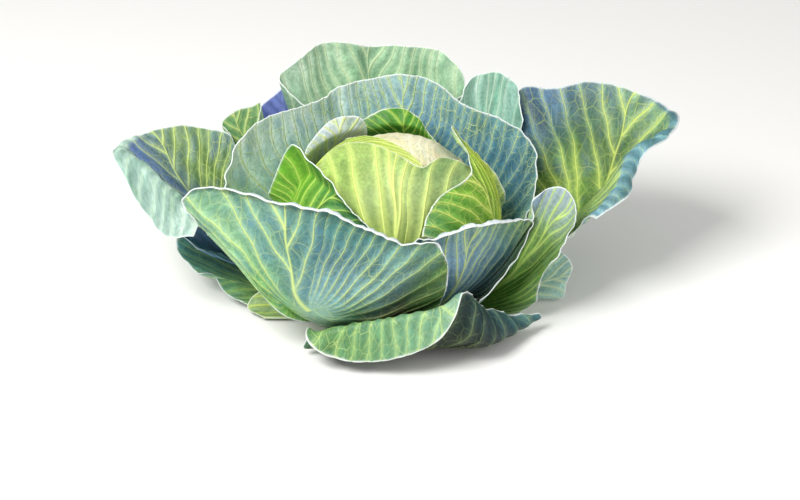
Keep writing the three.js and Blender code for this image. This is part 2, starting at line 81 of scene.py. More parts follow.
# %% The table of leaves, in millimetres and degrees
LEAVES = {
    "heart_leaf_back": dict(
        foot=(90, 29), knee=(0, 48, 29), belly=(0.1, 0.8), layer=3.6,
        rim=[(-70, 20, 90), (-62, 15, 120), (-40, -10, 145), (0, -38, 146), (38, -28, 144),
             (60, 5, 126), (70, 30, 95)]),
    "heart_leaf_middle": dict(
        foot=(160, 24), knee=(-50, 15, 30), belly=(0.1, 0.8), layer=8.6,
        rim=[(-30, 75, 100), (-45, 35, 143), (-29, 19, 154), (-10, 1, 160), (9, -17, 159),
             (25, -36, 150), (9, -55, 142), (-21, -69, 125)]),
    "heart_leaf_front": dict(
        foot=(270, 24), knee=(0, -50, 30), belly=(0.1, 0.8), layer=13,
        rim=[(-66, -33, 128), (-64, -7, 139), (-50, 6, 150), (-29, -4, 159), (-9, -20, 163),
             (9, -33, 159), (24, -38, 154), (40, -21, 155), (58, -12, 145), (70, -11, 133),
             (70, -40, 117)]),
    "wrapper_leaf_right": dict(
        foot=(335, 19.5), knee=(55, -22, 26), belly=(0.1, 0.8), layer=17.2,
        rim=[(23, -85, 113), (28, -75, 129), (39, -61, 139), (55, -44, 141), (66, -23, 143),
             (63, 2, 150), (51, 28, 162), (71, 28, 136), (88, 28, 118), (100, 18, 98), (96, 20, 75)]),
    "wrapper_leaf_left": dict(
        foot=(205, 18.5), knee=(-55, -25, 26), belly=(0.1, 0.8), layer=17.2,
        rim=[(-100, 32, 78), (-113, 12, 98), (-111, -2, 116), (-92, -12, 163), (-75, -38, 162),
             (-62, -55, 158), (-49, -68, 147), (-37, -80, 135), (-14, -90, 114)]),
    "wrapper_leaf_back_left": dict(
        foot=(140, 19), knee=(-46, 44, 26), belly=(0.1, 0.8), layer=21.4,
        rim=[(-89, 30, 85), (-82, 40, 127), (-74, 52, 138), (-60, 68, 147), (-46, 78, 147),
             (-31, 84, 142), (-25, 82, 123), (-24, 78, 90)]),
    "wrapper_leaf_back": dict(
        foot=(70, 24), knee=(12, 62, 29), belly=(0.1, 0.8), layer=26.5,
        rim=[(-50, 92, 90), (-37, 96, 126), (-25, 100, 136), (-12, 102, 142), (4, 103, 143),
             (16, 100, 140), (26, 96, 130), (36, 92, 114), (62, 80, 85)]),
    "cup_leaf_front_right": dict(
        foot=(315, 12.5), knee=(46, -76, 15), belly=(0.5, 0.35), layer=20,
        rim=[(9, -98, 92, 0, 0), (17, -96, 112, 3, 60), (37, -93, 115, 6, 120), (56, -87, 121, 7, 130),
             (75, -77, 120, 8, 130), (97, -59, 112, 6, 120), (119, -40, 102, 3, 60),
             (114, -48, 88, 0, 0), (97, -65, 64, 0, 0), (75, -80, 46, 0, 0)]),
    "cup_leaf_front_left": dict(
        foot=(232, 12), knee=(-100, -114, 5), knee_width=12, layer=25,
        belly=[(-0.1, 0.75), (0.3, 0.5), (0.5, 0.35), (0.55, 0.35)],
        rim=[(-158, -52, 88, 0, 0), (-183, -44, 120, 3, 60), (-166, -50, 139, 5, 120),
             (-133, -64, 142, 6, 130), (-92, -84, 141, 8, 130), (-56, -99, 142, 8, 130),
             (-16, -107, 127, 7, 130), (6, -109, 118, 5, 120), (30, -110, 119, 3, 60),
             (44, -109, 104, 0, 0), (45, -109, 78, 0, 0), (37, -107, 50, 0, 0)]),
    "collar_leaf": dict(
        foot=(88, 19.2), knee=(0, 84, 26), belly=(0.8, 0.25), layer=31, knee_width=60,
        rim=[(-153, -14, 115), (-151, 8, 126), (-142, 33, 143), (-121, 66, 150), (-74, 104, 150),
             (-51, 120, 158), (-22, 130, 161), (7, 133, 164), (35, 131, 158), (66, 115, 141),
             (102, 94, 135), (125, 66, 128), (130, 34, 115), (126, 8, 103), (119, -14, 91)]),
    "outer_leaf_back": dict(
        foot=(92, 15), knee=(-15, 108, 22), belly=(0.75, 0.3), knee_width=40,
        rim=[(-75, 120, 131), (-93, 128, 138), (-108, 142, 156), (-90, 162, 169), (-70, 174, 177),
             (-46, 180, 176), (-25, 182, 170), (0, 184, 171), (24, 182, 170), (45, 176, 167),
             (64, 164, 154), (65, 152, 136), (43, 145, 126)]),
    "outer_leaf_back_right": dict(
        foot=(57, 14.4), knee=(60, 95, 22), belly=(0.7, 0.3), clasp=10,
        rim=[(63, 128, 127), (61, 136, 140), (73, 148, 154), (88, 152, 157), (102, 150, 157),
             (113, 142, 151), (119, 130, 141), (117, 112, 124)]),
    "outer_leaf_right": dict(
        foot=(20, 9.7), knee=(135, 20, 50), belly=(0.5, 0.35), knee_width=50,
        rim=[(117, 112, 90, 0, 0), (116, 136, 122, 0, 0), (121, 148, 143, 0, 0), (151, 142, 145, 0, 0),
             (181, 133, 156, 0, 0), (208, 118, 159, 0, 0), (234, 100, 153, 3, 20),
             (252, 72, 146, 8, 70), (236, 50, 139, 14, 110), (209, 30, 131, 18, 120),
             (197, 6, 110, 18, 110), (171, -8, 86, 12, 90)]),
    "outer_leaf_back_left_green": dict(
        foot=(143, 5), knee=(-99, 76, 22), belly=(0.6, 0.35), clasp=10,
        rim=[(-147, 98, 102), (-156, 104, 116), (-162, 110, 125), (-150, 118, 133), (-135, 122, 136),
             (-126, 122, 139), (-129, 112, 121)]),
    "outer_leaf_back_left_blue": dict(
        foot=(120, 9.3), knee=(-72, 106, 25), belly=(0.6, 0.35), knee_width=22,
        rim=[(-140, 130, 106), (-129, 140, 125), (-116, 147, 134), (-106, 152, 140), (-99, 151, 131),
             (-98, 144, 116)]),
    "outer_leaf_left": dict(
        foot=(168, 13.5), knee=(-130, 5, 50), belly=(0.55, 0.35), knee_width=46,
        rim=[(-145, 62, 95, 0, 0), (-147, 78, 112, 0, 0), (-154, 88, 124, 0, 0), (-172, 92, 127, 0, 0),
             (-197, 92, 131, 0, 0), (-219, 84, 131, 0, 0), (-236, 66, 130, 4, 30),
             (-244, 46, 128, 12, 90), (-228, 26, 128, 28, 120), (-210, 8, 120, 40, 130),
             (-187, -14, 110, 44, 130), (-163, -34, 97, 24, 120)]),
    "outer_leaf_front_right": dict(
        foot=(333, 8), knee=(85, -43, 13), belly=(0.5, 0.35),
        rim=[(100, -30, 72), (120, -20, 92), (124, -12, 110), (135, -8, 118), (150, -12, 121),
             (160, -22, 109), (159, -32, 95), (148, -44, 76), (132, -48, 55), (128, -46, 34),
             (125, -42, 20), (110, -42, 8)]),
    "ground_leaf_front": dict(
        foot=(268, 4), knee=(0, -66, 4),
        belly=[(1, 0, 10), (1, 0, 18), (1, 0, 35), (1, -0.05, 80), (1, 0, 25)],
        rim=[(-80, -98, 10, 4, 40), (-62, -106, 24, 26, 165), (-33, -113, 37, 42, 187),
             (-1, -116, 45, 45, 190), (34, -116, 54, 37, 185), (54, -109, 60, 16, 150),
             (67, -97, 60, 2, 40), (78, -84, 42, 0, 0), (103, -68, 25, 0, 0), (129, -56, 18, 0, 0)]),
    "ground_leaf_left": dict(
        foot=(200, 4.5), knee=(-70, -18, 9), belly=(0.6, 0.3),
        rim=[(-192, 42, 52), (-202, 30, 44), (-198, 14, 36), (-182, 0, 28), (-167, -2, 26),
             (-158, -12, 16), (-145, -19, 9), (-125, -27, 5), (-98, -27, 5)]),
    "ground_leaf_left_inner": dict(
        foot=(176, 9), knee=(-90, -5, 22), belly=(0.6, 0.3),
        rim=[(-187, 21, 70), (-196, 16, 60), (-187, 10, 52), (-173, 4, 48), (-158, 7, 42),
             (-139, -1, 32)]),
    "ground_leaf_left_small": dict(
        foot=(234, 4.5), knee=(-60, -52, 6), belly=(0.6, 0.3), clasp=10, knee_width=16,
        rim=[(-118, -42, 3), (-134, -30, 8), (-124, -24, 20), (-108, -32, 22), (-92, -40, 12)]),
    "ground_leaf_back_right": dict(
        foot=(45, 4.5), knee=(52, 52, 7), belly=(0.7, 0.15), knee_width=50,
        rim=[(66, 106, 26), (86, 122, 20), (112, 122, 8), (134, 102, 7), (146, 74, 16), (128, 44, 22)]),
    "ground_leaf_back": dict(
        foot=(100, 4.5), knee=(-14, 74, 7), belly=(0.7, 0.15), knee_width=60,
        rim=[(-72, 96, 22), (-78, 122, 20), (-56, 146, 12), (-22, 158, 5), (18, 154, 9), (42, 138, 16),
             (44, 110, 22)]),
    "ground_leaf_right": dict(
        foot=(0, 4), knee=(80, -5, 8), belly=(0.6, 0.3),
        rim=[(136, 1, 50), (152, 4, 46), (162, -1, 34), (157, -4, 18), (154, -9, 6), (140, -9, 5)]),
}
CLASP = 16.0  # width of a leaf's foot round the stalk
KNEE_WIDTH = 30.0  # width of its stalk where the blade begins
FOOT_GAP = 1.2  # between the stalk and the foot
print("leaves:", len(LEAVES), "rim points:", sum(len(leaf["rim"]) for leaf in LEAVES.values()))

# %% [markdown]
# ## A smooth curve through rows of numbers
# The rim has to pass through each of its points without a corner. A Bezier curve would need handles, so a
# Catmull-Rom curve is used: between two points it is a cubic whose slope at each end is half the step from
# the point before to the point after. Folds and washes of colour follow the same curve.

# %% Interpolate rows smoothly
def through(rows, u):
    """Cubic through evenly spaced rows: p + w/2((c-a) + w(2a-5b+4c-d) + w^2(3b-a-3c+d)), ends extended."""
    rows = np.array(rows, dtype=float)
    padded = np.vstack([2 * rows[0] - rows[1], rows, 2 * rows[-1] - rows[-2]])
    x = np.clip(u, 0.0, 1.0) * (len(rows) - 1)
    i = np.minimum(np.floor(x).astype(int), len(rows) - 2)
    w = (x - i)[..., None]
    a, b, c, d = (padded[i + k] for k in range(4))
    return b + 0.5 * w * (c - a + w * (2 * a - 5 * b + 4 * c - d + w * (3 * b - a - 3 * c + d)))


def smooth(low, high, x):
    """0 below low, 1 above high, and 3s^2 - 2s^3 between."""
    s = np.clip((x - low) / (high - low), 0.0, 1.0)
    return s * s * (3 - 2 * s)


def unit(vectors):
    """Each vector divided by its length."""
    return vectors / np.maximum(np.linalg.norm(vectors, axis=-1, keepdims=True), 1e-9)


# %% [markdown]
# ## A leaf's surface
# On the plant a leaf leaves the stalk as a flat rib, which opens at a knee into ribs that fan out and bend
# up to the rim. So its surface is a function of two parameters: u runs along the rim from one side to the
# other, and t runs along a rib from the foot to the rim. Each rib is a cubic Bezier curve through foot,
# knee, belly and rim. A leaf of the head may not pass through the heart, so every point nearer to the
# heart's middle than the leaf's own layer is moved straight out to it.

# %% The blade as a function of u and t
CENTRE = np.array([0.0, 0.0, HEART_CENTRE])
UPWARD = np.array([0.0, 0.0, 200.0])  # a place that every leaf's upper side faces


def outside_heart(points, layer):
    """centre + v*g/f, where f is the ellipsoid distance of v and g = (f^60 + 1)^(1/60) is never below 1."""
    v = points - CENTRE
    tall = np.where(v[..., 2] > 0, HEART_RISE + layer, HEART_DROP + 0.45 * layer)
    round_part = (v[..., 0] ** 2 + v[..., 1] ** 2) / (HEART_RADIUS + layer) ** 2
    f = np.maximum(np.sqrt(round_part + (v[..., 2] / tall) ** 2), 1e-6)
    g = (np.minimum(f, 3.0) ** 60 + 1) ** (1 / 60)
    return CENTRE + v * (np.maximum(g, f) / f)[..., None]


def blade(leaf, u, t):
    """Bezier rib s^3*foot + 3ts^2*knee + 3t^2*s*belly + t^3*rim with s = 1 - t, kept outside the heart."""
    angle = math.radians(leaf["foot"][0])
    side = np.array([-math.sin(angle), math.cos(angle), 0.0])
    rim_rows = np.array([row[:3] for row in leaf["rim"]], dtype=float)
    way = 1.0 if np.dot(rim_rows[-1] - rim_rows[0], side) >= 0 else -1.0
    turn = angle + way * (u - 0.5) * leaf.get("clasp", CLASP) / STALK_RADIUS
    radius = STALK_RADIUS + FOOT_GAP
    foot = np.stack([radius * np.cos(turn), radius * np.sin(turn), np.full_like(turn, leaf["foot"][1])], -1)
    beside = way * (u - 0.5) * leaf.get("knee_width", KNEE_WIDTH)
    knee = np.array(leaf["knee"], float) + side * beside[..., None]
    rim = through(rim_rows, u)
    swing = np.atleast_2d(np.array(leaf["belly"], dtype=float))
    swing = through(swing, u) if len(swing) > 1 else np.broadcast_to(swing[0], u.shape + swing[0].shape)
    out, up = swing[..., 0:1], swing[..., 1:2]
    belly = knee + (rim - knee) * np.concatenate([out, out, up], -1)
    if swing.shape[-1] > 2:
        belly = belly + unit(rim * [1, 1, 0]) * swing[..., 2:3]
    t = t[..., None]
    s = 1 - t
    points = s**3 * foot + 3 * t * s * s * knee + 3 * t * t * s * belly + t**3 * rim
    return outside_heart(points, leaf["layer"]) if "layer" in leaf else points


# %% [markdown]
# ## The folded margin
# Old leaves roll their margins outward and down, and the front leaf lies with its tip folded right over.
# A fold could be a bend modifier, but each point of the rim turns by its own amount. So the last share of
# every rib is worked out here: past the crest it goes round an arc and then straight on, and how far it
# turns and how wide it is come from the rim's last two columns.

# %% The whole leaf, with its margin folded
BEND = 14.0  # length over which a margin turns
RIB = 150.0  # a usual rib, against which a margin's share of t is reckoned


def directions(leaf, u, t):
    """Unit vectors along the rib and across both parameters, from differences of the blade."""
    e = 1e-3
    du = blade(leaf, np.minimum(u + e, 1.0), t) - blade(leaf, np.maximum(u - e, 0.0), t)
    dt = blade(leaf, u, np.minimum(t + e, 1.0)) - blade(leaf, u, np.maximum(t - e, 0.0))
    return unit(dt), unit(np.cross(du, dt))


def under_sign(leaf):
    """1 if the cross product of the two directions points to the leaf's underside, otherwise -1."""
    u, t = np.array([0.5]), np.array([0.4])
    return 1.0 if np.dot(directions(leaf, u, t)[1][0], blade(leaf, u, t)[0] - UPWARD) > 0 else -1.0


def whole_leaf(leaf, u, t):
    """The blade, then an arc of radius 1/k and a straight: ahead sin(ks)/k, down (1-cos ks)/k."""
    rows = [tuple(row[3:]) + (0.0, 0.0) * (len(row) == 3) for row in leaf["rim"]]
    width, degrees = np.moveaxis(through(rows, u), -1, 0)
    width = np.maximum(width, 0.0)
    share = width / (RIB + width)
    on_rib = np.minimum(t / (1 - share), 1.0)
    points = blade(leaf, u, on_rib)
    if not width.max() > 0:
        return points
    along, under = directions(leaf, u, on_rib)
    s = np.maximum(t - (1 - share), 0.0) / np.maximum(share, 1e-9) * width
    bend = np.maximum(np.minimum(width, BEND), 1e-6)
    k = np.maximum(np.radians(np.maximum(degrees, 0.0)) / bend, 1e-7)
    turned = k * np.minimum(s, bend)
    past = np.maximum(s - bend, 0.0)
    ahead = np.sin(turned) / k + past * np.cos(turned)
    down = (1 - np.cos(turned)) / k + past * np.sin(turned)
    return points + along * ahead[..., None] + under * (under_sign(leaf) * down)[..., None]


for name in ("heart_leaf_front", "outer_leaf_left"):
    edge = whole_leaf(LEAVES[name], np.linspace(0, 1, 5), np.ones(5))
    print(name, "rim passes", edge.round().tolist())

# %% [markdown]
# ## The pattern of the veins
# A cabbage leaf has one thick midrib. Laterals leave it on both sides and arch towards the margin, the
# lowest of them fan out straight from the foot, twigs leave the laterals on alternate sides, and a fine net
# fills what is left. The veins could be painted on and then sculpted in, but two separate patterns drift
# apart. So the pattern is one formula on flat leaf coordinates, x across the midrib and y along it, and it
# is written so that it takes either numpy arrays, which carve the mesh, or a shader's sockets, which colour
# the skin. For the second, a Field turns each plus, minus, times and divide into one Math node.

# %% Numbers that are Math nodes
class Field:
    """A number worked out at each point of a skin. Arithmetic on Fields adds Math nodes to their tree."""

    def __init__(self, tree, socket):
        self.tree, self.socket = tree, socket

    def math(self, operation, *others):
        node = self.tree.nodes.new("ShaderNodeMath")
        node.operation = operation
        for place, value in zip(node.inputs, (self,) + others):
            if isinstance(value, Field):
                self.tree.links.new(value.socket, place)
            else:
                place.default_value = value
        return Field(self.tree, node.outputs[0])

    def __add__(self, other):
        return self.math("ADD", other)

    def __sub__(self, other):
        return self.math("SUBTRACT", other)

    def __mul__(self, other):
        return self.math("MULTIPLY", other)

    def __truediv__(self, other):
        return self.math("DIVIDE", other)

    def __pow__(self, other):
        return self.math("POWER", other)

    __radd__, __rmul__ = __add__, __mul__


def size_of(x):
    return x.math("ABSOLUTE") if isinstance(x, Field) else np.abs(x)


def part_of(x):
    return x.math("FRACT") if isinstance(x, Field) else x - np.floor(x)


def above(x, limit):
    return x.math("GREATER_THAN", limit) if isinstance(x, Field) else (x > limit) * 1.0


def larger(x, y):
    return x.math("MAXIMUM", y) if isinstance(x, Field) else np.maximum(x, y)


def angle_of(x, y):
    return x.math("ARCTAN2", y) if isinstance(x, Field) else np.arctan2(x, y)


def ridge(distance, width):
    """1 on a vein's middle and 0 away from it: 1 / (1 + (distance/width)^4)."""
    ratio = size_of(distance) / width
    square = ratio * ratio
    return (square * square + 1.0) ** -1.0


# %% [markdown]
# The midrib is x = 0. Above the line that leaves the foot at the laterals' own slope, a lateral is a line
# y = rise*|x| + constant; below it a lateral is a ray from the foot. Both meet on that line, so the family
# has no seam. Bending y by a little of x squared first makes them arch. The two sides are half a step out.

# %% Distances to the midrib, to the nearest lateral and to the nearest twig
TWIG_STEP = 19.0  # millimetres between twigs along a lateral
TWIG_LEAN = 1.0  # how far a twig runs on for each millimetre that it leaves the lateral


def veins(x, y, rise, bend, spacing, fan):
    """Millimetres to the three kinds of vein, the distance from the foot's line, and the place in a strip."""
    a = size_of(x)
    y = y - a * a * (bend / 100.0)
    steep = math.hypot(1.0, rise)
    climb = y - a * rise
    ray = math.radians(fan)
    first = math.atan(1.0 / rise)
    upper = above(climb, 0.0)
    lower = upper * -1.0 + 1.0
    length = (a * a + y * y) ** 0.5
    other_side = above(x, 0.0) * upper * 0.45
    count = upper * (climb / spacing) - lower * ((angle_of(a, y) - first) / ray) + other_side
    step = upper * (spacing / steep) + lower * (length * ray)
    between = part_of(count)
    second_half = above(between, 0.5)
    in_strip = size_of(between - second_half)
    lateral = in_strip * step
    out = upper * (a * steep) + lower * length
    run = upper * ((a + y * rise) / steep) + lower * length
    number = part_of((run - lateral * TWIG_LEAN) / TWIG_STEP + second_half * 0.5)
    twig = size_of(number - 0.5) * (TWIG_STEP / math.hypot(1.0, TWIG_LEAN))
    return a, lateral, twig, out, in_strip * 2.0


trial = veins(np.array([0.0, 20.0]), np.array([50.0, 60.0]), 1.3, 0.3, 30.0, 14.0)
print("midrib, lateral, twig distances:", [part.round(1).tolist() for part in trial[:3]])

# %% [markdown]
# ## Flat coordinates on a curved leaf
# The vein formula needs x and y on a flat leaf, but the leaf is cupped. A UV unwrap would flatten it with no
# midrib in it. Instead each rib keeps its own length r beyond the knee, the ribs are spread by the angle
# that they open at two thirds of their length, and the flat place is r*sin(angle), r*cos(angle). The veins
# start where this leaf's own midrib does, so the plane is then shifted and turned until the midrib, given
# by the places of its root and its tip, is the line x = 0. Slow waves push x and y about by a few
# millimetres at the end, so that no vein is drawn with a ruler.

# %% Leaf coordinates
KNEE_SHARE = 0.8  # how far along the stalk the ribs begin to open
SPREAD_AT = 0.65  # where along the ribs the angle between them is measured
WANDER_REACH = 70.0  # millimetres from the midrib's root at which the slow waves have their full size


def leaf_plane(leaf, points, u, t, look, seed):
    """x and y in millimetres on a flat leaf with its midrib on x = 0, and the length along each rib."""
    steps = np.linalg.norm(np.diff(points, axis=1), axis=-1)
    r = np.concatenate([np.zeros((len(u), 1)), np.cumsum(steps, axis=1)], axis=1)
    foot = points[len(u) // 2, 0]
    beyond = r - KNEE_SHARE * np.linalg.norm(np.array(leaf["knee"]) - foot)
    j = np.searchsorted(t, SPREAD_AT)
    opening = np.linalg.norm(np.gradient(points[:, j], axis=0), axis=-1) / np.maximum(beyond[:, j], 20.0)
    angle = np.cumsum(opening)
    angle = (angle - np.interp(0.5, u, angle))[:, None]
    flat = np.stack([beyond * np.sin(angle), beyond * np.cos(angle)], -1)
    root, tip = (flat[np.searchsorted(u, place[0]), min(np.searchsorted(t, place[1]), len(t) - 1)]
                 for place in (look["root"], look["tip"]))
    up = (tip - root) / np.linalg.norm(tip - root)
    x = (flat - root) @ np.array([up[1], -up[0]])
    y = (flat - root) @ up
    p, q, m, n = np.random.default_rng(seed).uniform(0, 2 * math.pi, 4)
    reach = np.minimum(np.hypot(x, y) / WANDER_REACH, 1.0) * look["wander"]
    dx = 2.6 * np.sin(y / 17.0 + p) + 1.4 * np.sin((x + y) / 8.3 + q)
    dy = 2.6 * np.sin(x / 15.0 + m) + 1.4 * np.sin((x - y) / 7.9 + n)
    return x + reach * dx, y + reach * dy, r


# %% [markdown]
# ## From a surface to a leaf
# A leaf is thin but it has two faces, and the export wants it closed. A Solidify modifier would give both
# faces the same bumps. On a real leaf the midrib and the laterals stand out below, while the flesh between
# them puffs up above, so each face is moved on its own along the normal, and the two are then joined by a
# strip round the margin. Waves along the rim, which only start near it, give the frilled edge.

# %% The grid and its faces
CELL = 1.9  # millimetres between grid lines


def grid_of(leaf):
    """Grid lines along the rim and places along the ribs, closer together towards the rim."""
    fine = np.linspace(0, 1, 200)
    rim = whole_leaf(leaf, fine, np.full(200, 0.9))
    rib = whole_leaf(leaf, np.full(200, 0.5), fine)
    rim_length = np.linalg.norm(np.diff(rim, axis=0), axis=1).sum()
    sums = np.concatenate([[0.0], np.cumsum(np.linalg.norm(np.diff(rib, axis=0), axis=1))])
    across = int(np.clip(rim_length / CELL, 30, 190))
    along = int(np.clip(sums[-1] / CELL, 30, 105))
    even = np.linspace(0, 1, along + 1)
    crowded = 1 - (1 - even) ** 1.2
    return np.linspace(0, 1, across + 1), np.interp(crowded * sums[-1], sums, fine), rim_length


def strip_faces(first, second):
    """Quads between two rows of vertex numbers that run side by side."""
    return np.stack([first[:-1], first[1:], second[1:], second[:-1]], axis=1)


def shell_faces(across, along):
    """Quads of the two faces of a sheet and of the strip round its edge, all turned outward."""
    front = np.arange((across + 1) * (along + 1)).reshape(across + 1, along + 1)
    back = front + front.size
    quads = np.stack([front[:-1, :-1], front[1:, :-1], front[1:, 1:], front[:-1, 1:]], -1).reshape(-1, 4)
    edges = [strip_faces(back[:, 0], front[:, 0]), strip_faces(front[:, -1], back[:, -1]),
             strip_faces(front[0], back[0]), strip_faces(back[-1], front[-1])]
    return np.concatenate([quads, quads[:, ::-1] + front.size] + edges), 2 * len(quads)


def make_mesh(name, points, faces, smooth_count, numbers, maps):
    """A mesh object in metres with named numbers at its points and named UV maps."""
    mesh = bpy.data.meshes.new(name)
    mesh.from_pydata(points * MM, [], faces.tolist())
    soft = np.zeros(len(faces), dtype=bool)
    soft[:smooth_count] = True
    mesh.polygons.foreach_set("use_smooth", soft)
    corners = np.empty(len(mesh.loops), dtype=np.int32)
    mesh.loops.foreach_get("vertex_index", corners)
    for key, values in maps.items():
        layer = mesh.uv_layers.new(name=key)
        layer.data.foreach_set("uv", values[corners].astype(np.float32).ravel())
    for key, values in numbers.items():
        kind, field = ("FLOAT_VECTOR", "vector") if values.ndim == 2 else ("FLOAT", "value")
        attribute = mesh.attributes.new(key, kind, "POINT")
        attribute.data.foreach_set(field, values.astype(np.float32).ravel())
    mesh.update()
    piece = bpy.data.objects.new(name, mesh)
    bpy.context.collection.objects.link(piece)
    return piece


def paint(code):
    """A colour written as six hex digits, made linear as Blender's sockets and attributes want it."""
    values = np.array([int(code[i:i + 2], 16) for i in (0, 2, 4)]) / 255
    return np.where(values <= 0.04045, values / 12.92, ((values + 0.055) / 1.055) ** 2.4)


FOLD = 2.0  # narrower folds than this count as flat, and a fold's colours begin this far before its crest
WASH_FOOT = 0.4  # where the first row of a wash lies along the ribs, the last being the rim


def at_least_two(items):
    """A single colour or row stands for the whole width or height of a wash."""
    return items * 2 if len(items) == 1 else items


def washes(rows, u, t):
    """Rows from foot to rim, row k + (row k+1 - row k)*w between two of them, each smooth along the rim."""
    bands = [at_least_two([paint(code) for code in row.split()]) for row in rows.split("/")]
    bands = at_least_two([through(band, u) for band in bands])
    place = np.clip((t - WASH_FOOT) / (1 - WASH_FOOT), 0.0, 1.0) * (len(bands) - 1)
    low = np.minimum(place.astype(int), len(bands) - 2)
    w = (place - low)[:, None, None]
    bands = np.stack(bands)
    mixed = bands[low] * (1 - w) + bands[low + 1] * w
    return np.clip(mixed, 0, 1).swapaxes(0, 1)


def past_crest(leaf, u, t):
    """Millimetres that a point lies beyond the crest of a folded margin, or far before it."""
    rows = [tuple(row) + (0.0,) * (5 - len(row)) for row in leaf["rim"]]
    width = np.maximum(through(rows, u)[..., 3], 0.0)
    share = width / (RIB + width)
    return np.where(width > FOLD, (t - (1 - share)) * (RIB + width), -RIB)


# %% The leaf's two faces
def frilled(points, below, uu, tt, rim_length, look, seed):
    """Waves a*sin(length/6 + p) + b*sin(length/4 + q) that grow toward the rim, and slower pleats."""
    p, q, m = np.random.default_rng(seed + 100).uniform(0, 2 * math.pi, 3)
    around = uu * rim_length
    wave = np.sin(around / 6.1 + p + 2 * np.sin(around / 23 + m)) * 0.6 + np.sin(around / 3.7 + q) * 0.4
    count, depth = look["pleats"]
    pleat = np.sin(2 * math.pi * count * uu + q + 0.8 * np.sin(5 * uu + m))
    lift = look["frill"] * wave * smooth(0.74, 1.0, tt) + depth * pleat * smooth(0.45, 0.95, tt)
    return points + below * lift[..., None]


def two_faces(points, below, x, y, tt, look):
    """Underside and upper side: the flesh puffs up between laterals, the ribs stand out below."""
    mid, lateral, twig, out, in_strip = veins(x, y, *look["veins"])
    grow = smooth(0.0, 0.25, tt) * (1 - 0.75 * tt)
    puff = look["puff"] * np.sin(np.minimum(lateral / 9.0, 1.0) * math.pi / 2) ** 2
    puff = puff * (1 - ridge(mid, 8.0)) * smooth(0.1, 0.4, tt)
    half = 0.5 * (0.8 + 2.0 * (1 - smooth(0.0, 0.3, tt)) + 0.5 * (1 - tt))
    ribs = look["ribs"] * grow * (3.4 * ridge(mid, 2.0 + 4.0 * (1 - tt)) + 1.2 * ridge(lateral, 1.6))
    twigs = look["ribs"] * grow * 0.5 * ridge(twig, 1.2) * (1 - in_strip)
    points = points - below * (puff * 0.8)[..., None]
    under_side = points + below * (half + np.maximum(ribs, twigs))[..., None]
    upper_side = points - below * (half + 0.12 * ribs)[..., None]
    return under_side, upper_side


# %% Build one closed leaf
def build_leaf(name, look, seed):
    """The leaf's surface, frilled and puffed, given two faces, its coordinates and its washes."""
    leaf = LEAVES[name]
    u, t, rim_length = grid_of(leaf)
    uu, tt = np.meshgrid(u, t, indexing="ij")
    points = whole_leaf(leaf, uu, tt)
    x, y, r = leaf_plane(leaf, points, u, t, look, seed)
    normal = unit(np.cross(np.gradient(points, axis=0), np.gradient(points, axis=1)))
    sign = under_sign(leaf)
    below = normal * sign
    points = frilled(points, below, uu, tt, rim_length, look, seed)
    if "layer" in leaf:
        points = outside_heart(points, leaf["layer"] - 0.8)
    under_side, upper_side = two_faces(points, below, x, y, tt, look)
    margin = np.minimum(r[:, -1:] - r, np.minimum(uu, 1 - uu) * rim_length * np.maximum(tt, 0.3))
    top, bottom = washes(look["wash"], u, t), washes(look["under"], u, t)
    upper_bare, under_bare = np.ones(uu.shape), np.ones(uu.shape)
    if "roll" in look:
        folded = smooth(-FOLD, 3.0, past_crest(leaf, uu, tt))
        top = top * (1 - folded[..., None]) + washes(look["roll"], u, t) * folded[..., None]
        upper_bare = 1 - look["veil"] * folded
    sheets = [(under_side, bottom, under_bare), (upper_side, top, upper_bare)]
    first, second = sheets if sign > 0 else sheets[::-1]
    faces, smooth_count = shell_faces(len(u) - 1, len(t) - 1)
    corners, wash, bare = (np.concatenate([one.reshape(uu.size, -1), other.reshape(uu.size, -1)])
                           for one, other in zip(first, second))
    flat_place = np.stack([x.ravel(), y.ravel()], 1) / 100.0
    grid_place = np.stack([uu.ravel(), tt.ravel()], 1)
    piece = make_mesh(
        "visual_" + name, corners, faces, smooth_count,
        {"wash": wash, "margin": np.tile(margin.ravel(), 2), "bare": bare[:, 0]},
        {"leaf": np.tile(flat_place, (2, 1)), "place": np.tile(grid_place, (2, 1))})
    return piece, len(faces) * 2

# %% [markdown]
# ## The skin
# A cabbage leaf is a waxy blue-green that thins to pale at the margin, with yellow-green veins that the wax
# leaves bare. One flat colour per leaf would look like paper. So broad washes of colour lie in the mesh,
# which also carry painted shade in hollows and towards the feet of leaves and painted light on a few dim
# sides, and the nodes add the rest: darker pockets between the laterals, chalky patches of wax bloom lifted
# into a painted sheen, mottling, a second tint in blotches, a light halo beside each vein, a net of fine
# veins from the edges of Voronoi cells, the veins themselves from the same formula as the mesh, and the thin
# pale line of the margin. Where a wash is dark with painted shade, the tint and the veins are held back, so
# that the painted shade stays dark. The veins and net also drive the bump.

# %% Small helpers for node trees
def add_node(tree, kind, **settings):
    """A new node with its settings, some of them values of its input sockets."""
    node = tree.nodes.new("ShaderNode" + kind)
    for key, value in settings.items():
        if hasattr(node, key):
            setattr(node, key, value)
        else:
            node.inputs[key.replace("_", " ").capitalize()].default_value = value
    return node


def blend(tree, factor, first, second, way="MIX"):
    """A Mix node for colours: first where the factor is 0, second where it is 1."""
    node = add_node(tree, "Mix", data_type="RGBA", blend_type=way, clamp_factor=True)
    sockets = {"factor": node.inputs[0], "first": node.inputs[6], "second": node.inputs[7]}
    for key, value in (("factor", factor), ("first", first), ("second", second)):
        if isinstance(value, Field):
            tree.links.new(value.socket, sockets[key])
        elif isinstance(value, bpy.types.NodeSocket):
            tree.links.new(value, sockets[key])
        else:
            sockets[key].default_value = value
    return node.outputs[2]


def solid(code):
    return tuple(paint(code)) + (1.0,)


def noise(tree, vector, scale, detail=3.0):
    node = add_node(tree, "TexNoise", Scale=scale, Detail=detail)
    tree.links.new(vector, node.inputs["Vector"])
    return Field(tree, node.outputs["Fac"])


